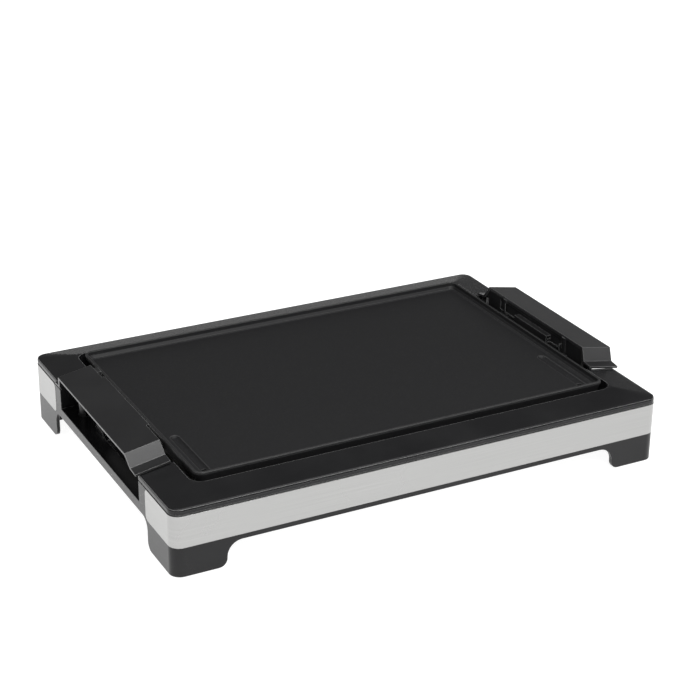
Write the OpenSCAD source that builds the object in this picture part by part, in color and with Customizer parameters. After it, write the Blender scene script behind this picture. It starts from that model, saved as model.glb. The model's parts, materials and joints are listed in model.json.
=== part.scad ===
// Electric hot plate: a non-stick griddle plate with two end handles, which lifts
// off a low frame of two long rails and two cross members, over a drip tray.
// The origin is on the table under the centre, X is the long way and +Z is up.
// All lengths are in millimetres.

/* [Frame] */
// Gap between the plate's rim and a corner block
plate_gap_x = 6; // [5:0.5:8]
// Gap between the plate's rim and a long rail
plate_gap_y = 8; // [6:0.5:9]
// Depth of each long rail seen from above
rail_d = 33; // [31:0.5:34]
// Length of each corner block along X
block_l = 37; // [35:0.5:38]
// Height of the inner edge of the frame's top
frame_h = 81; // [79:0.5:81.5]
// Fall of the top from its inner edge to its outer edge
top_fall = 6; // [5.5:0.5:7]
// Radius of the upright outer corners
corner_r = 12; // [9:0.5:15]
// Radius of the corners of the opening between the rails
opening_r = 14; // [10:0.5:18]
// Height of the joint between the lower and upper mouldings
split_h = 45; // [44.5:0.5:47]
// Wall of the frame mouldings
wall = 3; // [2.5:0.1:3.4]

/* [Steel bands] */
// Height of the lower edge of the bands
band_z = 33; // [32:0.5:34]
// Height of a band
band_h = 34.5; // [32:0.5:35]
// Thickness of the sheet
band_t = 1; // [0.8:0.1:1.2]
// Distance of the band's end from the block's end
band_stop = 17; // [12:0.5:30]
// Radius of the band's end corners
band_round = 6; // [3:0.5:10]
// Height of the shadow groove above the bands
groove_h = 1.5; // [1:0.1:2]

/* [Feet] */
// Height of the rails' lower edge between the feet
under_h = 27.5; // [26:0.5:30]
// Length of a foot along X
foot_l = 57; // [50:1:64]
// Distance of a foot's toe from the block's end
foot_back = 20; // [16:0.5:24]
// Radius of a foot's toe
toe_r = 9; // [5:0.5:11]
// Radius of the curve from a foot into the rail
foot_curve = 16; // [10:0.5:17]
// Radius of the curve from a foot into the side
side_curve = 12; // [8:0.5:14]
// Radius of the rubber pads
pad_r = 8; // [6:0.5:9]
// Height of the rubber pads
pad_h = 3.5; // [2.5:0.5:5]

/* [Cross members] */
// Height of the decks on which the handle posts stand
deck_h = 44; // [43:0.5:44.5]
// Height of the lower edge of the members' side walls
side_z = 33.5; // [32:0.5:34.5]
// Width of the shallow channel in the left deck
channel_w = 13.5; // [10:0.5:14]
// Length of the channel in the left deck
channel_l = 105; // [80:1:108]
// Depth of the channel in the left deck
channel_d = 6; // [4:0.5:6.5]
// Length along Y of the pan that holds the connector support
pan_l = 96; // [90:1:104]
// Height of the pan's floor
pan_h = 16.5; // [15:0.1:17]
// Reach of the pan's tongue under the tray
tongue_l = 20; // [12:1:24]
// Width of the tongue along Y
tongue_w = 90; // [70:1:92]
// Offset of the tongue's middle towards the back
tongue_y = 13; // [0:1:14]

/* [Drip tray] */
// Distance of the tray's ends inside the plate's rim
tray_in_x = 5; // [4:0.5:8]
// Distance of the tray's sides inside the plate's rim
tray_in_y = 2; // [1.5:0.5:4]
// Radius of the tray's corners
tray_r = 26; // [20:1:30]
// Thickness of the tray's sheet
tray_t = 0.9; // [0.7:0.1:1]
// Width of the tray's flat rim
tray_rim = 10; // [9.5:0.5:12]
// Depth of the tray from its rim to its floor
tray_d = 12; // [9:0.5:12.5]
// Width of the tray's sloping side
tray_slope = 18; // [10:0.5:19]
// Height of the ledge that carries the tray
seat_h = 30; // [29.5:0.5:31]
// Length of a well in the tray's floor
well_l = 122; // [110:1:128]
// Width of a well
well_w = 85; // [72:1:88]
// Depth of a well
well_d = 2.5; // [1.5:0.1:2.5]
// Radius of a well's corners
well_r = 14; // [8:1:20]

/* [Griddle plate] */
// Length of the plate over its rim
plate_l = 480; // [478:1:484]
// Depth of the plate over its rim
plate_w = 322; // [316:1:326]
// Radius of the plate's corners
plate_r = 10; // [8:0.5:16]
// Height of the rim above the table
rim_h = 86; // [85.5:0.1:87]
// Depth of the cooking surface below the rim
recess_d = 8; // [6:0.5:8.5]
// Height of the plate's outer side
plate_side = 19; // [17:0.5:19.5]
// How far the side leans in from rim to lower edge
plate_draft = 5; // [3:0.5:6]
// Thickness of the plate's floor
floor_t = 5.5; // [5:0.1:6]
// Thickness of the rim
rim_t = 3.6; // [3:0.1:4.5]
// Width of a drain groove
drain_w = 10; // [8:0.5:11]
// Length of a drain groove
drain_l = 84; // [60:1:100]
// Depth of a drain groove
drain_d = 2.4; // [1.5:0.1:2.8]

/* [Handles] */
// Length of a grip's flat top
grip_l = 198; // [190:1:200]
// Width of a grip, seen from above
grip_w = 37.5; // [34:0.5:40]
// Gap between the plate's rim and a grip
grip_gap = 12.5; // [11.5:0.5:14]
// Height of a grip's inner edge above the rim
grip_rise = 12.4; // [12:0.2:14]
// Fall of a grip to its outer edge
grip_fall = 7; // [6:0.5:7.5]
// Thickness of a grip
grip_t = 3; // [2.4:0.1:3.4]
// Height of the grip's end walls
end_h = 13.5; // [12:0.5:13.5]
// How far an end wall leans outwards
end_lean = 8; // [5:0.5:9]
// Length of the lap that covers the joint with a block
lap_l = 12.5; // [10:0.5:14]
// Radius of a post
post_r = 6.3; // [5:0.1:7]
// Distance of a post from the end of the grip's flat top
post_in = 6; // [4:0.5:9]
// Height of the posts' tips above the table
post_seat = 38; // [37:0.5:39]

/* [Heating element] */
// Radius of the sheathed tube
tube_r = 4; // [3.2:0.1:4]
// Mean radius of the tube's bends
bend_r = 20; // [14:1:24]
// Distance of the outer runs from the plate's long edges
run_edge_y = 51; // [44:1:60]
// Distance of the inner runs from the centre line
run_in_y = 40; // [36:1:44]
// Distance of the bends from the plate's ends
run_edge_x = 40; // [34:1:60]

/* [Connector] */
// Radius of the terminal pins
pin_r = 2.5; // [2:0.1:2.8]
// Distance between the terminal pins
pin_pitch = 38; // [37:0.5:42]
// Free length of the terminal pins
pin_l = 21; // [16:1:24]
// Radius of the bore for the temperature probe
probe_r = 3.3; // [2.8:0.1:3.6]
// Wall of the probe tube
probe_wall = 1.2; // [0.8:0.1:1.3]
// Width of the steel support
support_w = 30; // [26:0.5:30]
// Thickness of the steel support
support_t = 1.2; // [1:0.1:1.5]

/* [Hidden] */
$fn = 64;

// Shared clearances and small sizes
over = 1;
slack = 0.05;
hull_fn = 32;
skin = 0.02;

// Places in the frame
open_l = plate_l + 2 * plate_gap_x;
open_w = plate_w + 2 * plate_gap_y;
frame_l = open_l + 2 * block_l;
frame_w = open_w + 2 * rail_d;
lap_over = 3.5;
gap_l = grip_l + 2 * (end_lean + lap_l - lap_over);
gap_y = gap_l / 2;
block_w = frame_w / 2 - gap_y;
band_wrap = block_w - band_stop;
foot_d = block_w - foot_back;
end_round = 3;
end_slope = atan(top_fall / block_l);
lip_r = 2.5;
lip_z = frame_h - top_fall;
groove_z = band_z + band_h;
groove_d = 1.2;
top_edge_r = 1;
cavity_top_share = 0.7;
cavity_z = split_h + cavity_top_share * (lip_z - split_h + lip_r) + over;
band_out = 0.2;
band_in = band_t - band_out;
foot_z = 1;
deck_t = 3;

// Tray seat
tray_l = plate_l - 2 * tray_in_x;
tray_w = plate_w - 2 * tray_in_y;
seat_gap = 2;
seat_lap = 8.5;
seat_t = 3;
seat_wall = 2;
seat_wall_z = seat_h - 10;
seat_back = 2;
seat_l = tray_l + 2 * seat_gap;
seat_w = tray_w + 2 * seat_gap;
hole_l = tray_l - 2 * seat_lap;
hole_w = tray_w - 2 * seat_lap;
hole_r = tray_r - seat_lap;
guide_h = 6;
guide_t = 4;
guide_share = 0.2;
well_slope = 3;
well_edge = 10;

// Screws that hold the frame together
screw_r = 1.9;
screw_bore_r = 2;
screw_head_r = 3.8;
screw_head_h = 2.4;
boss_r = 4.8;
lower_boss_h = 3.2;
screw_l = 21;
boss_top_gap = 3;
deck_under = split_h - deck_t;
screw_z = deck_under - lower_boss_h;
rail_screw_shares = [0.15, 0.36];
rail_screw_y = (frame_w - rail_d) / 2;
block_screw_x = (frame_l - block_l) / 2;
tab_l = 14;
tab_w = 25;
block_screw_y = gap_y + tab_l - boss_r;
frame_screw_places = concat(
    [for (s = rail_screw_shares) for (q = [-1, 1]) [q * s * frame_l, rail_screw_y]],
    [for (q = [-1, 1]) [q * block_screw_x, block_screw_y]]);

// Foot pads
pad_x = frame_l / 2 - 2 * pad_r - over;
pad_y = frame_w / 2 - 2 * pad_r - over;
pad_wall = 2;
pad_rib = 2;

// Handle posts and their sockets
post_out = 24;
post_x = plate_l / 2 + post_out;
post_y = grip_l / 2 - post_in;
post_gap = 0.4;
socket_wall = 3;
tip_h = 2;
tip_in = 1.6;

// Cross members
member_in = seat_l / 2;
channel_edge = 18;
channel_x = frame_l / 2 - channel_edge - channel_w / 2;
channel_y = 35;
channel_wall = 3.5;
pan_out = 22;
pan_x = plate_l / 2 + pan_out;
tongue_r = 9;
tongue_fillet = 10;
ridge_t = 1.6;
ridge_h = 1.2;
ridge_in = 9;
ridge_x = pan_x - ridge_in;
ridge_y = -58;
ridge_l = 42;
ridge_cross = 20;
tab_h = 5;

// Griddle plate
surf_z = rim_h - recess_d;
plate_under = surf_z - floor_t;
plate_low = rim_h - plate_side;
rim_round = 1.3;
surf_fillet = 3.5;
skirt_t = 3.5;
drain_edge = 17.5;
drain_x = plate_l / 2 - drain_edge;
drain_r = (drain_d * drain_d + drain_w * drain_w / 4) / (2 * drain_d);
drain_hole_r = 2.8;
drain_hole_y = 22;
drain_end = 9;

// Lugs that carry the handles
lug_y = 62;
lug_out = 17;
lug_x = plate_l / 2 + lug_out;
lug_r = 8;
lug_t = 6;
lug_rise = 4.5;
lug_top = plate_under + lug_rise;
lug_bore_r = 2.1;

// Grips
inner_x = plate_l / 2 + grip_gap;
grip_z = rim_h + grip_rise;
tilt = atan(grip_fall / grip_w);
grip_s = grip_w / cos(tilt);
lap_fall = 1.5;
lap_t = 2.2;
end_wall_share = 0.75;
handle_wall_t = 2.5;
left_wall_z = rim_h;
right_wall_z = rim_h - 13;
inner_lip = 3;
lip_past = 1.5;
inner_lip_l = 2 * (lug_y + lip_past);
lug_clear = 0.3;
plug_way_half = 27;
plug_way_top = rim_h - 7.5;
panel_y0 = -56;
panel_y1 = 73;
panel_top = rim_h + 6;
panel_low = rim_h - 6;
panel_d = 1;
hood_half = 34;
hood_d = 5.1;
hood_h = 9;
hood_t = 1.4;
hook_y = -58;
hook_d = 3.2;
hook_h = 8;
peg_r = 2.5;
peg_in = 5;
peg_z = rim_h - 12;
post_slot = 2.4;
post_slot_h = 30;
boss_in_share = 0.55;
handle_boss_r = 6;
handle_screw_l = 18;

// Left fork and the rib that sits in it
fork_back = 3;
fork_y = post_y - fork_back;
fork_t = 6;
fork_gap = 0.8;
fork_x = plate_l / 2 + fork_gap;
fork_prong = 4.2;
fork_slot = 6.8;
fork_out = 3.8;
fork_top = rim_h - 1;
fork_u = rim_h - 20;
fork_bar = 5;
fork_stem = 9;
fork_foot_l = 16;
fork_foot_h = 3;
rib_gap = 0.5;
rib_l = 12;

// Clip over the channel
clip_l = 19;
clip_y = 46;
clip_h = 4.5;
clip_t = 1.2;
clip_w = channel_w;

// Connector
conn_z = plate_under - tube_r;
pad_proud = 0.5;
pad_face_x = plate_l / 2 + pad_proud;
pad_half = 36;
pad_t = 11;
pad_drop = 7;
pad_low = conn_z - pad_drop;
carrier_t = 6.5;
carrier_half = 38;
carrier_h = 18;
carrier_r = 4;
probe_out_r = probe_r + probe_wall;
probe_reach = 9;
probe_depth = 26;
collar_t = 1;
collar_out = 1.2;
term_screw_y = 30;
term_screw_r = 1.5;
term_head_r = 3;
term_head_h = 1.6;
term_screw_l = 12;
support_gap = 2;
support_x = pad_face_x + carrier_t + support_gap;
notch_gap = 0.7;
support_notch_r = probe_out_r + notch_gap;
support_past = 6;
support_top = conn_z + support_past;
support_foot = 10.5;
block_h = 23.5;
block_top = pan_h + block_h;
block_half = 23.5;
block_x = support_x + support_t - support_foot;
block_deep = pan_x - block_x - slack;
sup_screw_y = 8.5;
sup_screw_r = 1.7;
sup_head_r = 3.2;
sup_head_h = 2.2;
sup_screw_l = 12;
sup_screw_in = 4.6;
sup_screw_x = block_x + sup_screw_in;

// Clamps of the heating element
clamp_shares = [-0.6, 0, 0.5];
run_x = plate_l / 2 - run_edge_x;
run_y = plate_w / 2 - run_edge_y;
inner_end_share = 0.7;
lead_share = 0.9;
tube_back = 2;
clamp_w = 14;
clamp_t = 1.2;
clamp_reach = 8;
clamp_boss_r = 5.5;
clamp_screw_r = 1.9;
clamp_head_r = 3.8;
clamp_head_h = 2.2;
clamp_z = plate_under - 2 * tube_r - slack;
clamp_y = (run_y + run_in_y) / 2;
inner_x0 = run_x * inner_end_share;
lead_x = run_x * lead_share;
tube_end = pad_face_x - tube_back;
tube_z = plate_under - tube_r - slack;

// A rounded rectangle round the origin
module rrect(l, w, r) {
    square([l - 2 * r, w], center = true);
    square([l, w - 2 * r], center = true);
    for (x = [-1, 1]) for (y = [-1, 1])
        translate([x * (l / 2 - r), y * (w / 2 - r)]) circle(r);
}

// A smooth body through rounded rectangles: each ring is [length, width, radius, height]
module loft(rings) {
    hull() for (q = rings) for (x = [-1, 1]) for (y = [-1, 1])
        translate([x * (q[0] / 2 - q[2]), y * (q[1] / 2 - q[2]), q[3]])
            cylinder(r = q[2], h = skin, $fn = hull_fn);
}

// A slab with the outline of a child from one height to another
module slab(z0, z1) {
    translate([0, 0, z0]) linear_extrude(z1 - z0) children();
}

// Points along an arc in a plane
function arc(x, y, r, a0, a1, n) =
    [for (i = [0:n]) let (a = a0 + (a1 - a0) * i / n) [x + r * cos(a), y + r * sin(a)]];

// Lower edge of a foot, as distances from the outer face
function foot_edge(len, curve, top) = concat(
    [[0, foot_z]],
    arc(len - toe_r, foot_z + toe_r, toe_r, -90, 0, 8),
    arc(len + curve, top - curve, curve, 180, 90, 8));

module outline(inset) {
    rrect(frame_l - 2 * inset, frame_w - 2 * inset, corner_r - inset);
}

module opening(grow) {
    rrect(open_l + 2 * grow, open_w + 2 * grow, opening_r + grow);
}

// What lies outside the front rail and its two blocks
module beyond_front(end) {
    square([frame_l + 2 * over, gap_l + 2 * end], center = true);
    translate([-frame_l / 2 - over, 0]) square([frame_l + 2 * over, frame_w]);
}

// Plan of the front rail with its blocks
module rail_plan(inset, grow, end) {
    difference() {
        outline(inset);
        opening(grow);
        beyond_front(end);
    }
}

// Profile along X of a rail with its feet, on the plane of Y and Z turned to X and Z
module front_profile() {
    edge = foot_edge(foot_l, foot_curve, under_h);
    n = len(edge) - 1;
    polygon(concat(
        [for (p = edge) [p[0] - frame_l / 2, p[1]]],
        [for (i = [n:-1:0]) [frame_l / 2 - edge[i][0], edge[i][1]]],
        [[frame_l / 2, split_h], [-frame_l / 2, split_h]]));
}

// Profile along Y of the front half of the frame's side
module side_profile() {
    polygon(concat(
        [for (p = foot_edge(foot_d, side_curve, side_z)) [p[0] - frame_w / 2, p[1]]],
        [[0, side_z], [0, split_h], [-frame_w / 2, split_h]]));
}

// The steel band's solid, grown for its recess
module band_solid(grow, deep) {
    intersection() {
        slab(band_z - grow, band_z + band_h + grow) difference() {
            outline(-band_out - grow);
            outline(deep);
        }
        translate([-frame_l / 2 - over, 0, 0]) rotate([90, 0, 90])
            linear_extrude(frame_l + 2 * over)
                translate([-frame_w / 2, band_z + band_h / 2])
                    rrect(2 * band_wrap + 2 * grow, band_h + 2 * grow, band_round);
    }
}

// One screw standing on its head at height zero
module screw(r, l, head_r, head_h) {
    translate([0, 0, -head_h]) difference() {
        cylinder(r = head_r, h = head_h);
        translate([0, 0, -over]) for (a = [0, 90]) rotate([0, 0, a])
            cube([head_r, head_h / 3, 2 * over + head_h / 2], center = true);
    }
    cylinder(r = r, h = l);
}

module front_upper_rail_shape() {
    difference() {
        union() {
            slab(split_h, groove_z) outline(0);
            slab(groove_z, groove_z + groove_h) outline(groove_d);
            loft([
                [frame_l, frame_w, corner_r, groove_z + groove_h],
                [frame_l, frame_w, corner_r, lip_z - lip_r],
                [frame_l - lip_r / 2, frame_w - lip_r / 2, corner_r - lip_r / 4, lip_z - lip_r / 3],
                [frame_l - 2 * lip_r, frame_w - 2 * lip_r, corner_r - lip_r, lip_z - skin],
                [open_l, open_w, top_edge_r, frame_h - skin]]);
        }
        slab(split_h - over, frame_h + over) {
            opening(0);
            beyond_front(0);
        }
        slab(split_h - over, cavity_z) rail_plan(wall + band_in, wall, wall + end_round);
        band_solid(slack, band_in + slack);
        block_rounds();
    }
    for (p = frame_screw_places) translate([p[0], -p[1], split_h]) difference() {
        cylinder(r = boss_r, h = cavity_z - split_h + skin);
        translate([0, 0, -over]) cylinder(r = screw_bore_r, h = screw_l - lower_boss_h);
    }
}

// Cutters that round the top edge of the two block ends
module block_rounds() {
    for (q = [0, 1]) mirror([q, 0, 0]) translate([open_l / 2, -gap_y, frame_h])
        rotate([0, end_slope, 0]) difference() {
            translate([-over, -end_round, -end_round])
                cube([block_l + 2 * over, end_round + over, end_round + over]);
            translate([-2 * over, -end_round, -end_round]) rotate([0, 90, 0])
                cylinder(r = end_round, h = block_l + 4 * over);
        }
}

module front_lower_rail_shape() {
    difference() {
        intersection() {
            slab(0, split_h) rail_plan(0, 0, 0);
            translate([0, frame_w / 2 + over, 0]) rotate([90, 0, 0])
                linear_extrude(frame_w + 2 * over) front_profile();
            translate([-frame_l / 2 - over, 0, 0]) rotate([90, 0, 90])
                linear_extrude(frame_l + 2 * over) side_profile();
        }
        slab(-over, deck_under) rail_plan(wall + band_in, wall, wall);
        slab(-over, seat_wall_z) outline(wall + band_in);
        slab(-over, seat_h - seat_t) opening(wall);
        band_solid(slack, band_in + slack);
        for (p = frame_screw_places) translate([p[0], -p[1], -over])
            cylinder(r = screw_bore_r, h = split_h + 2 * over);
        for (q = [-1, 1]) translate([q * block_screw_x, -gap_y, deck_under])
            cube([tab_w + 2 * post_gap, 2 * wall + 2 * over, 2 * (deck_t + post_gap)], center = true);
    }
    seat_ring();
    lower_bosses();
    foot_bosses();
}

// Ledge that carries the tray, with the wall under it and the guides beside the tray
module seat_ring() {
    slab(seat_h - seat_t, seat_h) difference() {
        rrect(open_l + wall, open_w + wall, opening_r + wall / 2);
        rrect(hole_l, hole_w, hole_r);
        beyond_front(0);
    }
    slab(seat_wall_z, seat_h - seat_t + skin) difference() {
        rrect(hole_l + 2 * seat_back + 2 * seat_wall, hole_w + 2 * seat_back + 2 * seat_wall,
            hole_r + seat_back + seat_wall);
        rrect(hole_l + 2 * seat_back, hole_w + 2 * seat_back, hole_r + seat_back);
        beyond_front(0);
    }
    for (q = [-1, 1]) translate([q * guide_share * tray_l - guide_t / 2, -open_w / 2 - slack, seat_h - skin])
        cube([guide_t, (open_w - seat_w) / 2 + slack, guide_h]);
}

// Bosses under the lower rail's deck, for the rail screws
module lower_bosses() {
    for (s = rail_screw_shares) for (q = [-1, 1])
        translate([q * s * frame_l, -rail_screw_y, screw_z]) difference() {
            cylinder(r = boss_r, h = lower_boss_h + skin);
            translate([0, 0, -over]) cylinder(r = screw_bore_r, h = lower_boss_h + 2 * over);
        }
}

// Posts in the feet, which hold the rubber pads
module foot_bosses() {
    for (q = [-1, 1]) translate([q * pad_x, -pad_y, 0]) difference() {
        union() {
            translate([0, 0, foot_z]) cylinder(r = pad_r + pad_wall, h = deck_under - foot_z + skin);
            for (a = [0, 1]) rotate([0, 0, a ? -90 : 90 - 90 * q])
                translate([0, -pad_rib / 2, foot_z + pad_h])
                    cube([2 * pad_r - wall / 2, pad_rib, deck_under - foot_z - pad_h]);
        }
        translate([0, 0, foot_z - over]) cylinder(r = pad_r + slack, h = pad_h - foot_z + over);
        translate([0, 0, pad_h + pad_wall]) cylinder(r = pad_r, h = deck_under - pad_h - 2 * pad_wall);
    }
}

module front_upper_rail() {
    color("#1c1c1d") front_upper_rail_shape();
}

module rear_upper_rail() {
    color("#1c1c1d") mirror([0, 1, 0]) front_upper_rail_shape();
}

module front_steel_band() {
    color("#c9c9c8") band_solid(0, band_in);
}

module rear_steel_band() {
    color("#c9c9c8") mirror([0, 1, 0]) band_solid(0, band_in);
}

module front_lower_rail() {
    color("#212122") front_lower_rail_shape();
}

module rear_lower_rail() {
    color("#212122") mirror([0, 1, 0]) front_lower_rail_shape();
}

module foot_pads() {
    color("#0f0f10") for (x = [-1, 1]) for (y = [-1, 1])
        translate([x * pad_x, y * pad_y, 0]) cylinder(r = pad_r, h = pad_h);
}

module frame_screws() {
    color("#8f9091") for (y = [-1, 1]) for (p = frame_screw_places)
        translate([p[0], y * p[1], screw_z]) screw(screw_r, screw_l, screw_head_r, screw_head_h);
}

// What both cross members share, drawn on the +X side
module member_body() {
    slab(deck_h - deck_t, deck_h) translate([member_in, -gap_y])
        square([frame_l / 2 - member_in, gap_l]);
    slab(side_z, deck_h) translate([frame_l / 2 - wall, -gap_y]) square([wall, gap_l]);
    slab(seat_h - seat_t, deck_h) translate([member_in, -gap_y]) square([seat_t, gap_l]);
    slab(seat_h - seat_t, seat_h) translate([hole_l / 2, -gap_y])
        square([member_in + seat_t - hole_l / 2, gap_l]);
    for (y = [-1, 1]) translate([post_x, y * post_y, side_z])
        cylinder(r = post_r + post_gap + socket_wall, h = deck_h - side_z);
    for (y = [-1, 1]) translate([block_screw_x - tab_w / 2, y * gap_y - (y < 0 ? tab_l : over), 0])
        slab(screw_z, deck_h - deck_t + skin) square([tab_w, tab_l + over]);
}

// Sockets for the posts and holes for the end screws
module member_holes() {
    for (y = [-1, 1]) {
        translate([post_x, y * post_y, post_seat]) cylinder(r = post_r + post_gap, h = deck_h);
        translate([block_screw_x, y * block_screw_y, screw_z - over])
            cylinder(r = screw_bore_r, h = deck_h);
    }
}

module left_cross_member() {
    color("#191919") mirror([1, 0, 0]) difference() {
        union() {
            member_body();
            slab(deck_h - deck_t - channel_d, deck_h) translate([channel_x, channel_y - channel_l / 2])
                square([channel_w + 2 * channel_wall, channel_l + 2 * channel_wall], center = true);
        }
        member_holes();
        translate([channel_x, channel_y - channel_l / 2, deck_h - channel_d]) linear_extrude(deck_h)
            rrect(channel_w, channel_l, channel_w / 3);
    }
}

// Where the tongue's widened root ends at the back
function tongue_end() = tongue_y + tongue_w / 2 + tongue_fillet;

module tongue_plan() {
    difference() {
        union() {
            translate([hole_l / 2 - tongue_l / 2 + tongue_r, tongue_y])
                rrect(tongue_l + 2 * tongue_r, tongue_w, tongue_r);
            translate([hole_l / 2, -pan_l / 2]) square([pan_x + wall - hole_l / 2, pan_l]);
            translate([hole_l / 2 - tongue_fillet, tongue_y - tongue_w / 2 - tongue_fillet])
                square([tongue_fillet + wall, tongue_w + 2 * tongue_fillet]);
        }
        for (y = [-1, 1])
            translate([hole_l / 2 - tongue_fillet, tongue_y + y * (tongue_w / 2 + tongue_fillet)])
                circle(tongue_fillet);
    }
}

module right_cross_member() {
    color("#191919") {
        difference() {
            union() {
                difference() {
                    member_body();
                    translate([hole_l / 2 - over, -pan_l / 2, pan_h])
                        cube([pan_x - hole_l / 2 + over, pan_l, deck_h]);
                }
                slab(pan_h - wall, pan_h) tongue_plan();
                slab(pan_h - wall, deck_h) translate([pan_x, -pan_l / 2 - wall])
                    square([wall, pan_l + 2 * wall]);
                for (y = [-1, 1]) {
                    slab(pan_h - wall, deck_h) translate([member_in, y * (pan_l + wall) / 2 - wall / 2])
                        square([pan_x - member_in + wall, wall]);
                    slab(pan_h - wall, seat_h) translate([hole_l / 2, y * (pan_l + wall) / 2 - wall / 2])
                        square([member_in - hole_l / 2 + over, wall]);
                }
                slab(pan_h - wall, seat_h) translate([hole_l / 2, pan_l / 2])
                    square([wall, tongue_end() - pan_l / 2]);
            }
            member_holes();
        }
        slab(deck_h - skin, deck_h + ridge_h) {
            translate([ridge_x, ridge_y - ridge_l]) square([ridge_t, ridge_l]);
            translate([ridge_x + ridge_t / 2 - ridge_cross / 2, ridge_y]) square([ridge_cross, ridge_t]);
        }
        slab(pan_h - skin, pan_h + tab_h) translate([member_in - tab_h, pan_l / 2 - 2 * tab_h]) {
            square([2 * tab_h, ridge_t]);
            square([ridge_t, tab_h]);
        }
    }
}

module left_fork() {
    color("#121212") mirror([1, 0, 0]) translate([0, fork_y, 0]) {
        translate([0, fork_t / 2, 0]) rotate([90, 0, 0]) linear_extrude(fork_t) {
            difference() {
                translate([fork_x, fork_u - fork_bar])
                    square([fork_prong + fork_slot + fork_out, fork_top - fork_u + fork_bar]);
                translate([fork_x + fork_prong, fork_u + fork_slot / 2])
                    square([fork_slot, fork_top]);
                translate([fork_x + fork_prong + fork_slot / 2, fork_u + fork_slot / 2])
                    circle(fork_slot / 2);
            }
            translate([fork_x, deck_h]) square([fork_stem, fork_u - deck_h]);
        }
        translate([fork_x, -fork_foot_l / 2, deck_h]) cube([fork_stem, fork_foot_l, fork_foot_h]);
        translate([fork_x + (fork_stem - fork_foot_h) / 2, -fork_foot_l / 2, deck_h])
            cube([fork_foot_h, fork_foot_l, 2 * fork_foot_h]);
    }
}

module channel_clip() {
    color("#3a3b3c") translate([-channel_x, clip_y, deck_h]) {
        difference() {
            translate([-clip_w / 2, -clip_l / 2, 0]) cube([clip_w, clip_l, clip_h]);
            translate([-clip_w / 2 + clip_t, -clip_l / 2 - over, -over])
                cube([clip_w - 2 * clip_t, clip_l + 2 * over, clip_h - clip_t + over]);
        }
    }
}

module connector_support() {
    color("#161617") difference() {
        translate([block_x, -block_half, pan_h]) cube([block_deep, 2 * block_half, block_h]);
        for (y = [-1, 1]) {
            translate([sup_screw_x, y * sup_screw_y, block_top - sup_screw_l])
                cylinder(r = sup_screw_r + slack, h = sup_screw_l + over);
            translate([block_x - over, y * block_half * 2 / 3, pan_h + block_h / 2])
                cube([wall + over, wall, block_h - 2 * wall], center = true);
        }
        translate([block_x + 2 * wall, -block_half + wall, pan_h + wall])
            translate([support_foot, 0, 0])
                cube([block_deep, 2 * (block_half - wall), block_h]);
    }
}

module steel_probe_support() {
    color("#d7d8d6") difference() {
        union() {
            translate([block_x, -support_w / 2, block_top]) cube([support_foot, support_w, support_t]);
            translate([support_x, -support_w / 2, block_top])
                cube([support_t, support_w, support_top - block_top]);
        }
        translate([support_x - over, 0, conn_z]) rotate([0, 90, 0])
            cylinder(r = support_notch_r, h = support_t + 2 * over);
        translate([support_x - over, -support_notch_r, conn_z])
            cube([support_t + 2 * over, 2 * support_notch_r, support_top]);
        for (y = [-1, 1]) translate([sup_screw_x, y * sup_screw_y, block_top - over])
            cylinder(r = sup_screw_r + slack, h = support_t + 2 * over);
    }
}

module support_screws() {
    color("#d7d8d6") for (y = [-1, 1])
        translate([sup_screw_x, y * sup_screw_y, block_top + support_t]) rotate([180, 0, 0])
            screw(sup_screw_r, sup_screw_l - over, sup_head_r, sup_head_h);
}

// One straight run of the heating tube
module run(x0, y0, x1, y1) {
    translate([x0, y0, 0]) rotate([0, 0, atan2(y1 - y0, x1 - x0)]) rotate([0, 90, 0])
        cylinder(r = tube_r, h = norm([x1 - x0, y1 - y0]));
}

// A quarter bend round a centre
module bend(x, y, a) {
    translate([x, y, 0]) rotate([0, 0, a]) rotate_extrude(angle = 90)
        translate([bend_r, 0]) circle(tube_r);
}

module element_half() {
    lead_y = pin_pitch / 2;
    run(lead_x + bend_r, lead_y, tube_end, lead_y);
    bend(lead_x + bend_r, lead_y + bend_r, 180);
    run(lead_x, lead_y + bend_r, lead_x, run_y - bend_r);
    bend(lead_x - bend_r, run_y - bend_r, 0);
    run(bend_r - run_x, run_y, lead_x - bend_r, run_y);
    bend(bend_r - run_x, run_y - bend_r, 90);
    run(-run_x, run_in_y + bend_r, -run_x, run_y - bend_r);
    bend(bend_r - run_x, run_in_y + bend_r, 180);
    run(bend_r - run_x, run_in_y, inner_x0 - bend_r, run_in_y);
    bend(inner_x0 - bend_r, run_in_y - bend_r, 0);
    run(inner_x0, 0, inner_x0, run_in_y - bend_r);
}

module heating_element() {
    color("#6d6a66") translate([0, 0, tube_z]) {
        element_half();
        mirror([0, 1, 0]) element_half();
    }
}

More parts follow.
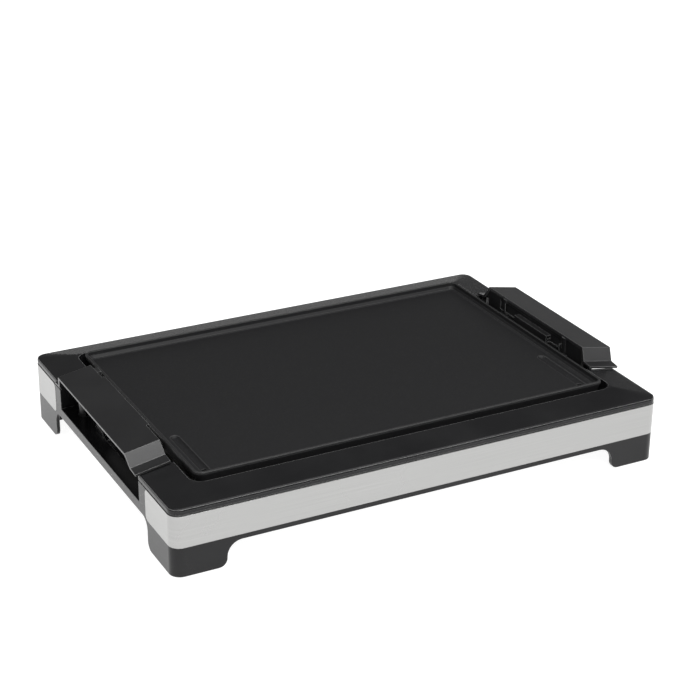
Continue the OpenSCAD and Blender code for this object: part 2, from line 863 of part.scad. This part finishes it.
module griddle_plate() {
    low_l = plate_l - 2 * plate_draft;
    low_w = plate_w - 2 * plate_draft;
    color("#2a2a2b") difference() {
        union() {
            loft([
                [low_l, low_w, plate_r - plate_draft / 2, plate_low],
                [plate_l, plate_w, plate_r, rim_h - 2 * rim_round],
                [plate_l - rim_round / 2, plate_w - rim_round / 2, plate_r, rim_h - rim_round / 2],
                [plate_l - 2 * rim_round, plate_w - 2 * rim_round, plate_r - rim_round, rim_h - skin]]);
            terminal_pad();
            lugs();
        }
        loft([
            [plate_l - 2 * rim_t - 2 * surf_fillet, plate_w - 2 * rim_t - 2 * surf_fillet,
                plate_r - rim_t, surf_z],
            [plate_l - 2 * rim_t - surf_fillet, plate_w - 2 * rim_t - surf_fillet,
                plate_r - rim_t, surf_z + surf_fillet / 4],
            [plate_l - 2 * rim_t, plate_w - 2 * rim_t, plate_r - rim_t, surf_z + surf_fillet],
            [plate_l - 2 * rim_t + rim_round, plate_w - 2 * rim_t + rim_round, plate_r - rim_t,
                rim_h + over]]);
        slab(plate_low - over, plate_under) difference() {
            rrect(low_l - 2 * skirt_t, low_w - 2 * skirt_t, plate_r - skirt_t);
            translate([pad_face_x - pad_t, -pad_half]) square([plate_l, 2 * pad_half]);
        }
        drain_grooves();
        connector_bores();
        for (x = [-1, 1]) for (y = [-1, 1]) translate([x * lug_x, y * lug_y, lug_top - lug_t - over])
            cylinder(r = lug_bore_r, h = lug_t + 2 * over);
    }
    clamp_bosses();
}

// Cast pad on the right side, on which the terminals are mounted
module terminal_pad() {
    translate([pad_face_x - pad_t, -pad_half, pad_low])
        cube([pad_t, 2 * pad_half, surf_z - pad_low]);
}

// Lugs under the grips
module lugs() {
    for (x = [-1, 1]) for (y = [-1, 1]) {
        slab(lug_top - lug_t, lug_top) translate([x * lug_x, y * lug_y]) circle(lug_r);
        slab(lug_top - lug_t, lug_top)
            translate([x * (lug_x + plate_l / 2 - plate_draft - skirt_t / 2) / 2, y * lug_y])
                square([lug_x - plate_l / 2 + plate_draft + skirt_t / 2, 2 * lug_r], center = true);
    }
}

module drain_grooves() {
    y0 = -plate_w / 2 + rim_t + drain_end;
    for (x = [-1, 1]) translate([x * drain_x, 0, 0]) {
        translate([0, y0, surf_z + drain_r - drain_d]) rotate([-90, 0, 0])
            cylinder(r = drain_r, h = drain_l);
        for (y = [y0, y0 + drain_l]) translate([0, y, surf_z + drain_r - drain_d]) sphere(drain_r);
        translate([0, -plate_w / 2 + drain_hole_y, plate_under - over])
            cylinder(r = drain_hole_r, h = floor_t + 2 * over);
    }
}

module connector_bores() {
    x0 = pad_face_x - pad_t - over;
    for (y = [-1, 1]) {
        translate([x0, y * pin_pitch / 2, tube_z]) rotate([0, 90, 0])
            cylinder(r = tube_r + slack, h = pad_t + 2 * over);
        translate([pad_face_x - term_screw_l + carrier_t, y * term_screw_y, conn_z])
            rotate([0, 90, 0]) cylinder(r = term_screw_r + slack, h = term_screw_l);
    }
    translate([x0, 0, conn_z]) rotate([0, 90, 0]) cylinder(r = probe_out_r + slack, h = pad_t + 2 * over);
}

// Bosses that carry the element's clamps
module clamp_bosses() {
    color("#2a2a2b") for (s = clamp_shares) for (y = [-1, 1])
        translate([s * run_x, y * clamp_y, clamp_z]) difference() {
            cylinder(r = clamp_boss_r, h = plate_under - clamp_z + skin);
            translate([0, 0, -over]) cylinder(r = clamp_screw_r + slack, h = plate_under - clamp_z);
        }
}

module element_clamps() {
    half = (run_y - run_in_y) / 2 + clamp_reach;
    color("#a9a9a7") for (s = clamp_shares) for (y = [-1, 1])
        translate([s * run_x, y * clamp_y, clamp_z - clamp_t]) difference() {
            linear_extrude(clamp_t) rrect(clamp_w, 2 * half, clamp_w / 4);
            translate([0, 0, -over]) cylinder(r = clamp_screw_r + slack, h = clamp_t + 2 * over);
        }
}

module clamp_screws() {
    color("#b9b9b7") for (s = clamp_shares) for (y = [-1, 1])
        translate([s * run_x, y * clamp_y, clamp_z - clamp_t])
            screw(clamp_screw_r, plate_under - clamp_z - clamp_t, clamp_head_r, clamp_head_h);
}

module terminal_carrier() {
    color("#141414") difference() {
        translate([pad_face_x, 0, conn_z]) rotate([90, 0, 90])
            linear_extrude(carrier_t) rrect(2 * carrier_half, carrier_h, carrier_r);
        for (y = [-1, 1]) {
            translate([pad_face_x - over, y * pin_pitch / 2, conn_z]) rotate([0, 90, 0])
                cylinder(r = pin_r + slack, h = carrier_t + 2 * over);
            translate([pad_face_x - over, y * term_screw_y, conn_z]) rotate([0, 90, 0])
                cylinder(r = term_screw_r + slack, h = carrier_t + 2 * over);
        }
        translate([pad_face_x - over, 0, conn_z]) rotate([0, 90, 0])
            cylinder(r = probe_out_r + slack, h = carrier_t + 2 * over);
    }
}

module terminal_pins() {
    color("#d9d7d2") for (y = [-1, 1]) translate([tube_end, y * pin_pitch / 2, conn_z])
        rotate([0, 90, 0]) {
            cylinder(r = pin_r, h = pad_face_x + carrier_t + pin_l - tube_end - pin_r / 2);
            translate([0, 0, pad_face_x + carrier_t + pin_l - tube_end - pin_r / 2])
                cylinder(r1 = pin_r, r2 = pin_r / 2, h = pin_r / 2);
            translate([0, 0, pad_face_x + carrier_t - tube_end])
                cylinder(r = pin_r + collar_out, h = collar_t);
        }
}

module terminal_screws() {
    color("#e0e0de") for (y = [-1, 1])
        translate([pad_face_x + carrier_t, y * term_screw_y, conn_z]) rotate([0, -90, 0])
            screw(term_screw_r, term_screw_l - over, term_head_r, term_head_h);
}

module probe_tube() {
    color("#b8b4a8") translate([pad_face_x + carrier_t + probe_reach, 0, conn_z]) rotate([0, -90, 0])
        difference() {
            cylinder(r = probe_out_r, h = probe_depth);
            translate([0, 0, -over]) cylinder(r = probe_r, h = probe_depth - probe_wall + over);
        }
}

// Section of a grip across its length: top, leaning ends and laps
module grip_section() {
    e = grip_l / 2;
    side = [
        [e, 0],
        [e + end_lean, -end_h],
        [e + end_lean + lap_l, -end_h - lap_fall],
        [e + end_lean + lap_l, -end_h - lap_fall - lap_t],
        [e + end_lean - end_wall_share * grip_t, -end_h - lap_t],
        [e - end_wall_share * grip_t, -grip_t]];
    polygon(concat(side, [for (i = [len(side) - 1:-1:0]) [-side[i][0], side[i][1]]]));
}

// Height of a grip's top at a distance from the centre
function grip_top(x) = grip_z - (x - inner_x) * grip_fall / grip_w;

// A handle on the +X side, without what only one of the two has
module handle_body(wall_z) {
    translate([inner_x, 0, grip_z]) rotate([0, tilt, 0]) rotate([90, 0, 90])
        linear_extrude(grip_s) grip_section();
    translate([inner_x, -grip_l / 2, wall_z])
        cube([handle_wall_t, grip_l, grip_top(inner_x + handle_wall_t) - grip_t / 2 - wall_z]);
    for (y = [-1, 1]) {
        translate([post_x, y * post_y, post_seat]) difference() {
            union() {
                cylinder(r1 = post_r - tip_in, r2 = post_r, h = tip_h);
                translate([0, 0, tip_h])
                    cylinder(r = post_r, h = grip_top(post_x) - boss_in_share * grip_t - post_seat - tip_h);
            }
            translate([-post_slot / 2, -post_r - over, -over])
                cube([post_slot, 2 * post_r + 2 * over, post_slot_h + over]);
        }
        translate([inner_x + peg_r, y * (gap_y - peg_in), peg_z])
            cylinder(r = peg_r, h = grip_top(inner_x + peg_r) - end_h - (lap_fall + lap_t) / 2 - peg_z);
        translate([lug_x, y * lug_y, lug_top]) difference() {
            cylinder(r = handle_boss_r, h = grip_top(lug_x) - boss_in_share * grip_t - lug_top);
            translate([0, 0, -over]) cylinder(r = screw_bore_r, h = handle_screw_l - lug_t + over);
        }
    }
}

module left_handle() {
    color("#262627") mirror([1, 0, 0]) {
        handle_body(left_wall_z);
        translate([inner_x, 0, grip_z]) rotate([0, tilt, 0])
            translate([-inner_lip, -inner_lip_l / 2, -grip_t])
                cube([inner_lip + over, inner_lip_l, grip_t]);
        translate([fork_x + fork_prong + rib_gap, fork_y - rib_l / 2, fork_u + fork_slot / 2])
            cube([fork_slot - 2 * rib_gap, rib_l, grip_z - grip_t - fork_u - fork_slot / 2]);
        translate([fork_x + fork_prong + rib_gap, fork_y - rib_l / 2, fork_top + over])
            cube([inner_x + handle_wall_t / 2 - fork_x - fork_prong - rib_gap, rib_l,
                grip_z - grip_t - fork_top - over]);
    }
}

module right_handle() {
    color("#262627") {
        difference() {
            handle_body(right_wall_z);
            for (y = [-1, 1])
                translate([inner_x - over, y * lug_y - lug_r - lug_clear, right_wall_z - over])
                    cube([handle_wall_t + 2 * over, 2 * (lug_r + lug_clear),
                        lug_top + lug_clear - right_wall_z + over]);
            translate([inner_x - over, -plug_way_half, right_wall_z - over])
                cube([handle_wall_t + 2 * over, 2 * plug_way_half, plug_way_top - right_wall_z + over]);
            translate([inner_x - over, panel_y0, panel_low])
                cube([panel_d + over, panel_y1 - panel_y0, panel_top - panel_low]);
        }
        terminal_hood();
        translate([inner_x - hook_d, hook_y, plug_way_top])
            cube([hook_d + slack, hood_t, hook_h]);
    }
}

// Ribbed hood over the terminals: a web with three flanges that reach the wall
module terminal_hood() {
    translate([inner_x - hood_d, -hood_half, plug_way_top]) {
        cube([hood_t, 2 * hood_half, hood_h]);
        for (i = [0, 1, 2]) translate([0, 0, i * (hood_h - hood_t) / 2])
            cube([hood_d + panel_d + slack, 2 * hood_half, hood_t]);
    }
}

module handle_screws() {
    color("#a4a4a2") for (x = [-1, 1]) for (y = [-1, 1])
        translate([x * lug_x, y * lug_y, lug_top - lug_t])
            screw(screw_r, handle_screw_l - over, screw_head_r, screw_head_h);
}

// The wells stand in the corners of the floor, a little way from its edges
function well_x() = tray_l / 2 - tray_rim - tray_slope - well_edge - well_l / 2;
function well_y() = tray_w / 2 - tray_rim - tray_slope - well_edge - well_w / 2;

// Four wells with sloping sides, from their bottom to a height above it
module tray_wells(grow, z0, z1) {
    for (x = [-1, 1]) for (y = [-1, 1]) translate([x * well_x(), y * well_y(), 0]) loft([
        [well_l - 2 * well_slope + 2 * grow, well_w - 2 * well_slope + 2 * grow,
            well_r - well_slope + grow, z0],
        [well_l + 2 * grow, well_w + 2 * grow, well_r + grow, z1]]);
}

module drip_tray() {
    l1 = tray_l - 2 * tray_rim;
    w1 = tray_w - 2 * tray_rim;
    r1 = tray_r - tray_rim;
    l2 = l1 - 2 * tray_slope;
    w2 = w1 - 2 * tray_slope;
    top = seat_h + tray_t;
    floor_z = top - tray_d;
    color("#9c9d9a") difference() {
        union() {
            slab(seat_h, top) rrect(tray_l, tray_w, tray_r);
            loft([
                [l2 + tray_t, w2 + tray_t, r1, floor_z - tray_t],
                [l1 + 2 * tray_t, w1 + 2 * tray_t, r1 + tray_t, seat_h]]);
            tray_wells(tray_t, floor_z - tray_t - well_d, floor_z - skin);
        }
        loft([
            [l2, w2, r1 - tray_t, floor_z],
            [l1, w1, r1, top - skin],
            [l1, w1, r1, top + over]]);
        tray_wells(0, floor_z - well_d, floor_z);
    }
}

front_upper_rail();
rear_upper_rail();
front_steel_band();
rear_steel_band();
front_lower_rail();
rear_lower_rail();
foot_pads();
left_cross_member();
right_cross_member();
left_fork();
channel_clip();
connector_support();
steel_probe_support();
support_screws();
frame_screws();
griddle_plate();
heating_element();
element_clamps();
clamp_screws();
terminal_carrier();
terminal_pins();
terminal_screws();
probe_tube();
left_handle();
right_handle();
handle_screws();
drip_tray();
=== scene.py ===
import bpy
import json
import math
from mathutils import Matrix, Vector

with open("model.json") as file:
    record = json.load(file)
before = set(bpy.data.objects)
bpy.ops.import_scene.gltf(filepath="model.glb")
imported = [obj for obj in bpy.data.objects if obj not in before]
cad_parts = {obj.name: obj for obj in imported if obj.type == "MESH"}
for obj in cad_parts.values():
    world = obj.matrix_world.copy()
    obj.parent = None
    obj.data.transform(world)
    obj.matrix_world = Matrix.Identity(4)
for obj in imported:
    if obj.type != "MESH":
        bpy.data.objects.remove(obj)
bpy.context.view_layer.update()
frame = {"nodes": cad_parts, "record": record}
nodes = frame["nodes"]

# Lengths are in metres and powers in watts
MM = 0.001
WHITE = (1.0, 1.0, 1.0)

# Limits of the noise value between which colour and roughness change
NOISE_LOW = 0.3
NOISE_HIGH = 0.7

# The same for the drawn lines of a metal
LINES_LOW = 0.25
LINES_HIGH = 0.75

# Speckles of the coating: cells for each metre, and where in a cell the pale colour is full and ends
SPECKLE_SCALE = 650.0
SPECKLE_FULL = 0.08
SPECKLE_END = 0.2

# Cosine of the angle between the rounded and the true normal, where the painted highlight on an edge
# is full and where it ends
HIGHLIGHT_FULL = 0.93
HIGHLIGHT_NONE = 0.99

# Rays that the rounded shading of an edge takes
EDGE_SAMPLES = 4


def new_material(name):
    """A material with its node tree, its shader and its texture coordinates."""
    mat = bpy.data.materials.new(name)
    mat.use_nodes = True
    tree = mat.node_tree
    bsdf = next(n for n in tree.nodes if n.type == "BSDF_PRINCIPLED")
    coords = tree.nodes.new("ShaderNodeTexCoord")
    return mat, tree, bsdf, coords


def noise(tree, coords, scale, detail, rough, stretch=None):
    """A noise in object space, with scale in waves for each metre; stretch scales the axes."""
    tex = tree.nodes.new("ShaderNodeTexNoise")
    tex.inputs["Scale"].default_value = scale
    tex.inputs["Detail"].default_value = detail
    tex.inputs["Roughness"].default_value = rough
    place = coords.outputs["Object"]
    if stretch is not None:
        mapping = tree.nodes.new("ShaderNodeMapping")
        mapping.inputs["Scale"].default_value = stretch
        tree.links.new(place, mapping.inputs["Vector"])
        place = mapping.outputs["Vector"]
    tree.links.new(place, tex.inputs["Vector"])
    return tex


def ramp(tree, source, low, dark, high, light):
    """A colour that goes from dark at the value low to light at the value high."""
    node = tree.nodes.new("ShaderNodeValToRGB")
    first, last = node.color_ramp.elements
    first.position = low
    first.color = (*dark, 1.0)
    last.position = high
    last.color = (*light, 1.0)
    tree.links.new(source, node.inputs["Fac"])
    return node


def spread(tree, source, start, end, low=NOISE_LOW, high=NOISE_HIGH):
    """A number that goes from start at the value low to end at the value high."""
    node = tree.nodes.new("ShaderNodeMapRange")
    node.inputs["From Min"].default_value = low
    node.inputs["From Max"].default_value = high
    node.inputs["To Min"].default_value = start
    node.inputs["To Max"].default_value = end
    tree.links.new(source, node.inputs["Value"])
    return node


def soft_edge(tree, radius):
    """Rounds the shading of sharp edges by a radius."""
    node = tree.nodes.new("ShaderNodeBevel")
    node.samples = EDGE_SAMPLES
    node.inputs["Radius"].default_value = radius
    return node


def relief(tree, source, strength, depth, rounded):
    """A fine relief on top of the rounded edges."""
    node = tree.nodes.new("ShaderNodeBump")
    node.inputs["Strength"].default_value = strength
    node.inputs["Distance"].default_value = depth
    tree.links.new(source, node.inputs["Height"])
    tree.links.new(rounded.outputs["Normal"], node.inputs["Normal"])
    return node


def painted_edge_highlight(tree, rounded, colour, edge_highlight):
    """Paints a highlight on edges: lightens the colour where the shading of an edge is rounded."""
    surface = tree.nodes.new("ShaderNodeNewGeometry")
    along = tree.nodes.new("ShaderNodeVectorMath")
    along.operation = "DOT_PRODUCT"
    tree.links.new(rounded.outputs["Normal"], along.inputs[0])
    tree.links.new(surface.outputs["Normal"], along.inputs[1])
    highlight_mask = spread(tree, along.outputs["Value"], 1.0, 0.0, HIGHLIGHT_FULL, HIGHLIGHT_NONE)
    mix = tree.nodes.new("ShaderNodeMixRGB")
    mix.inputs["Color2"].default_value = (*edge_highlight, 1.0)
    tree.links.new(highlight_mask.outputs["Result"], mix.inputs["Fac"])
    tree.links.new(colour.outputs["Color"], mix.inputs["Color1"])
    return mix


def wire(tree, bsdf, colour, edge_highlight, edge, cloud, rough, fine, strength, depth):
    """Joins colour, painted edge highlights, cloudy roughness and fine relief to the shader."""
    rounded = soft_edge(tree, edge)
    # Painted highlight: the colour is lightened towards the edge colour on rounded edges
    highlighted = painted_edge_highlight(tree, rounded, colour, edge_highlight)
    wear = spread(tree, cloud.outputs["Fac"], *rough)
    grain = relief(tree, fine.outputs["Fac"], strength, depth, rounded)
    tree.links.new(highlighted.outputs["Color"], bsdf.inputs["Base Color"])
    tree.links.new(wear.outputs["Result"], bsdf.inputs["Roughness"])
    tree.links.new(grain.outputs["Normal"], bsdf.inputs["Normal"])


def plastic(name, dark, light, rough, edge_highlight=0.05, edge=0.7 * MM,
            grain=1400.0, depth=0.02 * MM, strength=0.25, specular=0.5):
    """Moulded plastic: fine grain, soft clouds and a painted highlight on the edges in the grey
    given for them.
    """
    mat, tree, bsdf, coords = new_material(name)
    fine = noise(tree, coords, grain, detail=3.0, rough=0.6)
    cloud = noise(tree, coords, scale=14.0, detail=4.0, rough=0.55)
    colour = ramp(tree, cloud.outputs["Fac"], NOISE_LOW, dark, NOISE_HIGH, light)
    # The edges get a painted highlight in the given grey
    wire(tree, bsdf, colour, (edge_highlight, edge_highlight, edge_highlight), edge, cloud, rough, fine, strength, depth)
    bsdf.inputs["Specular IOR Level"].default_value = specular
    return mat


def metal(name, dark, light, rough, scale, stretch, edge_highlight=None, edge=0.3 * MM,
          depth=0.02 * MM, strength=0.25, metallic=1.0):
    """Metal with drawn lines along the axis of the least stretch, and soft clouds."""
    mat, tree, bsdf, coords = new_material(name)
    fine = noise(tree, coords, scale, detail=3.0, rough=0.65, stretch=stretch)
    cloud = noise(tree, coords, scale=9.0, detail=3.0, rough=0.5)
    colour = ramp(tree, fine.outputs["Fac"], LINES_LOW, dark, LINES_HIGH, light)
    # The edges get a painted highlight in the given edge colour, or else in the light colour
    wire(tree, bsdf, colour, edge_highlight or light, edge, cloud, rough, fine, strength, depth)
    bsdf.inputs["Metallic"].default_value = metallic
    return mat


def coating(name, base, speckle, rough, edge_highlight, edge, depth, strength, specular):
    """Black non-stick coating: matt, with fine pale speckles."""
    mat, tree, bsdf, coords = new_material(name)
    cells = tree.nodes.new("ShaderNodeTexVoronoi")
    cells.inputs["Scale"].default_value = SPECKLE_SCALE
    tree.links.new(coords.outputs["Object"], cells.inputs["Vector"])
    fine = noise(tree, coords, scale=900.0, detail=4.0, rough=0.65)
    cloud = noise(tree, coords, scale=7.0, detail=3.0, rough=0.5)
    colour = ramp(tree, cells.outputs["Distance"], SPECKLE_FULL, speckle, SPECKLE_END, base)
    # The edges get a painted highlight in the given edge colour
    wire(tree, bsdf, colour, edge_highlight, edge, cloud, rough, fine, strength, depth)
    bsdf.inputs["Specular IOR Level"].default_value = specular
    return mat


# Materials, by the slot that the record gives to each node; the grey or colour given for the edges
# is a painted highlight
PLASTICS = {
    "frame_plastic": dict(
        dark=(0.006, 0.006, 0.0065), light=(0.01, 0.01, 0.0105), rough=(0.2, 0.24),
        edge_highlight=0.18, edge=0.9 * MM, specular=0.25),
    "member_plastic": dict(
        dark=(0.004, 0.004, 0.0045), light=(0.007, 0.007, 0.0075), rough=(0.2, 0.26),
        edge_highlight=0.2, specular=0.3),
    "handle_plastic": dict(
        dark=(0.009, 0.009, 0.0095), light=(0.014, 0.014, 0.0145), rough=(0.3, 0.36),
        edge_highlight=0.14, grain=1800.0, depth=0.03 * MM, strength=0.3, specular=0.42),
    "carrier_plastic": dict(
        dark=(0.008, 0.008, 0.008), light=(0.014, 0.014, 0.013), rough=(0.42, 0.52)),
    "pad_rubber": dict(
        dark=(0.01, 0.01, 0.01), light=(0.018, 0.018, 0.018), rough=(0.7, 0.8),
        grain=900.0, depth=0.1 * MM, strength=0.5, specular=0.3),
}
METALS = {
    "band_steel": dict(
        dark=(0.33, 0.33, 0.326), light=(0.4, 0.4, 0.394), rough=(0.26, 0.31),
        scale=1.0, stretch=(5.0, 5.0, 2600.0)),
    "bright_steel": dict(
        dark=(0.27, 0.27, 0.265), light=(0.36, 0.36, 0.355), rough=(0.2, 0.3),
        scale=300.0, stretch=(1.0, 1.0, 0.2)),
    "clip_steel": dict(
        dark=(0.3, 0.3, 0.3), light=(0.42, 0.42, 0.42), rough=(0.24, 0.34),
        scale=400.0, stretch=(1.0, 0.15, 1.0), edge_highlight=(0.8, 0.8, 0.8)),
    "screw_steel": dict(
        dark=(0.4, 0.4, 0.41), light=(0.55, 0.55, 0.56), rough=(0.22, 0.34),
        scale=500.0, stretch=(1.0, 1.0, 1.0)),
    "element_steel": dict(
        dark=(0.09, 0.08, 0.075), light=(0.2, 0.17, 0.15), rough=(0.4, 0.55),
        scale=300.0, stretch=(1.0, 1.0, 1.0)),
    "probe_brass": dict(
        dark=(0.5, 0.45, 0.33), light=(0.66, 0.6, 0.45), rough=(0.25, 0.35),
        scale=500.0, stretch=(0.1, 1.0, 1.0)),
    "tray_metal": dict(
        dark=(0.68, 0.68, 0.655), light=(0.75, 0.75, 0.725), rough=(0.34, 0.42),
        scale=1500.0, stretch=(1.0, 1.0, 1.0), edge_highlight=(0.95, 0.95, 0.93),
        edge=0.8 * MM, depth=0.03 * MM, strength=0.3, metallic=0.42),
}
materials = {name: plastic(name, **look) for name, look in PLASTICS.items()}
materials.update({name: metal(name, **look) for name, look in METALS.items()})
materials["plate_cast"] = coating(
    "nonstick_coating", base=(0.0105, 0.0105, 0.011), speckle=(0.045, 0.045, 0.047),
    rough=(0.44, 0.52), edge_highlight=(0.06, 0.06, 0.06), edge=1.2 * MM,
    depth=0.05 * MM, strength=0.3, specular=0.18)

slots = {s["node"]: s["material_slot"] for s in frame["record"]["subparts"]}
for name, obj in nodes.items():
    for s in obj.material_slots:
        s.material = materials[slots[name]]

# Floor: plain pale paper just under the feet, wide enough to reach past every view
FLOOR_SIZE = 60.0
FLOOR_DROP = 0.5 * MM
FLOOR_DARK = (0.36, 0.36, 0.36)
FLOOR_LIGHT = (0.38, 0.38, 0.38)
FLOOR_ROUGH = 0.9
FLOOR_SPECULAR = 0.1
FLOOR_GLOW = 0.94


def paper():
    """Pale paper that glows a little, so that it stays white under the object."""
    mat, tree, bsdf, coords = new_material("floor_paper")
    cloud = noise(tree, coords, scale=3.0, detail=2.0, rough=0.5)
    colour = ramp(tree, cloud.outputs["Fac"], NOISE_LOW, FLOOR_DARK, NOISE_HIGH, FLOOR_LIGHT)
    tree.links.new(colour.outputs["Color"], bsdf.inputs["Base Color"])
    bsdf.inputs["Roughness"].default_value = FLOOR_ROUGH
    bsdf.inputs["Specular IOR Level"].default_value = FLOOR_SPECULAR
    bsdf.inputs["Emission Color"].default_value = (*WHITE, 1.0)
    bsdf.inputs["Emission Strength"].default_value = FLOOR_GLOW
    return mat


bpy.ops.mesh.primitive_plane_add(size=FLOOR_SIZE, location=(0, 0, -FLOOR_DROP))
floor = bpy.context.object
floor.name = "floor"
floor.data.materials.append(paper())

# World: a weak light from all sides, and a white backdrop that only the camera sees
AMBIENT_STRENGTH = 0.17
BACKDROP_STRENGTH = 1.1


def white_background(background, strength):
    """Makes a background node white and gives it a strength."""
    background.inputs["Color"].default_value = (*WHITE, 1.0)
    background.inputs["Strength"].default_value = strength
    return background


world = bpy.data.worlds.new("studio")
bpy.context.scene.world = world
world.use_nodes = True
sky = world.node_tree
ambient = white_background(sky.nodes["Background"], AMBIENT_STRENGTH)
backdrop = white_background(sky.nodes.new("ShaderNodeBackground"), BACKDROP_STRENGTH)
ray = sky.nodes.new("ShaderNodeLightPath")
choice = sky.nodes.new("ShaderNodeMixShader")
sky.links.new(ray.outputs["Is Camera Ray"], choice.inputs[0])
sky.links.new(ambient.outputs[0], choice.inputs[1])
sky.links.new(backdrop.outputs[0], choice.inputs[2])
sky.links.new(choice.outputs[0], sky.nodes["World Output"].inputs["Surface"])

# Soft lights: a place, the point each looks at, width and height, and power
SOFTBOXES = {
    "overhead": dict(
        place=(0.0, -0.5, 2.4), aim=(0.0, -0.1, 0.0), size=(3.2, 2.0), power=53.0),
    "left_fill": dict(
        place=(-2.2, -0.8, 0.9), aim=(0.0, 0.0, 0.1), size=(1.8, 1.2), power=6.0),
    "front_fill": dict(
        place=(-0.13, -1.73, 1.76), aim=(-0.1, 0.0, 0.2), size=(1.2, 0.9), power=48.0),
    "right_fill": dict(
        place=(2.03, -1.03, 1.25), aim=(0.1, 0.0, 0.2), size=(0.95, 0.6), power=11.0),
    "floor_glow": dict(
        place=(-0.09, 0.065, 0.001), aim=(-0.09, 0.065, 1.0), size=(0.28, 0.07), power=0.45),
}


def softbox(name, place, aim, size, power):
    """A rectangular light at a place, turned to the point aim."""
    data = bpy.data.lights.new(name, "AREA")
    data.shape = "RECTANGLE"
    data.size, data.size_y = size
    data.energy = power
    lamp = bpy.data.objects.new(name, data)
    bpy.context.scene.collection.objects.link(lamp)
    lamp.location = place
    lamp.rotation_euler = (Vector(aim) - Vector(place)).to_track_quat("-Z", "Y").to_euler()


for name, values in SOFTBOXES.items():
    softbox(name, **values)

# Camera: the photo's viewpoint, with the focal length in the photo's pixels
AZIMUTH = math.radians(-27.7024)
ELEVATION = math.radians(24.2216)
ROLL = math.radians(0.5602)
DISTANCE = 1.9646
TARGET = Vector((0.0, -0.0236, 0.1152))
FOCAL_PIXELS = 1814.0
PHOTO_PIXELS = 700.0
SENSOR_WIDTH_MM = 36.0

back = Vector((math.sin(AZIMUTH) * math.cos(ELEVATION),
               -math.cos(AZIMUTH) * math.cos(ELEVATION),
               math.sin(ELEVATION)))
right = Vector((math.cos(AZIMUTH), math.sin(AZIMUTH), 0.0))
up = back.cross(right)
rolled_right = math.cos(ROLL) * right + math.sin(ROLL) * up
rolled_up = -math.sin(ROLL) * right + math.cos(ROLL) * up
turn = Matrix((rolled_right, rolled_up, back)).transposed().to_4x4()

cam_data = bpy.data.cameras.new("camera")
cam_data.sensor_width = SENSOR_WIDTH_MM
cam_data.lens = SENSOR_WIDTH_MM * FOCAL_PIXELS / PHOTO_PIXELS
cam = bpy.data.objects.new("camera", cam_data)
bpy.context.scene.collection.objects.link(cam)
cam.matrix_world = Matrix.Translation(TARGET + DISTANCE * back) @ turn
bpy.context.scene.camera = cam
bpy.context.scene.view_settings.view_transform = "Standard"
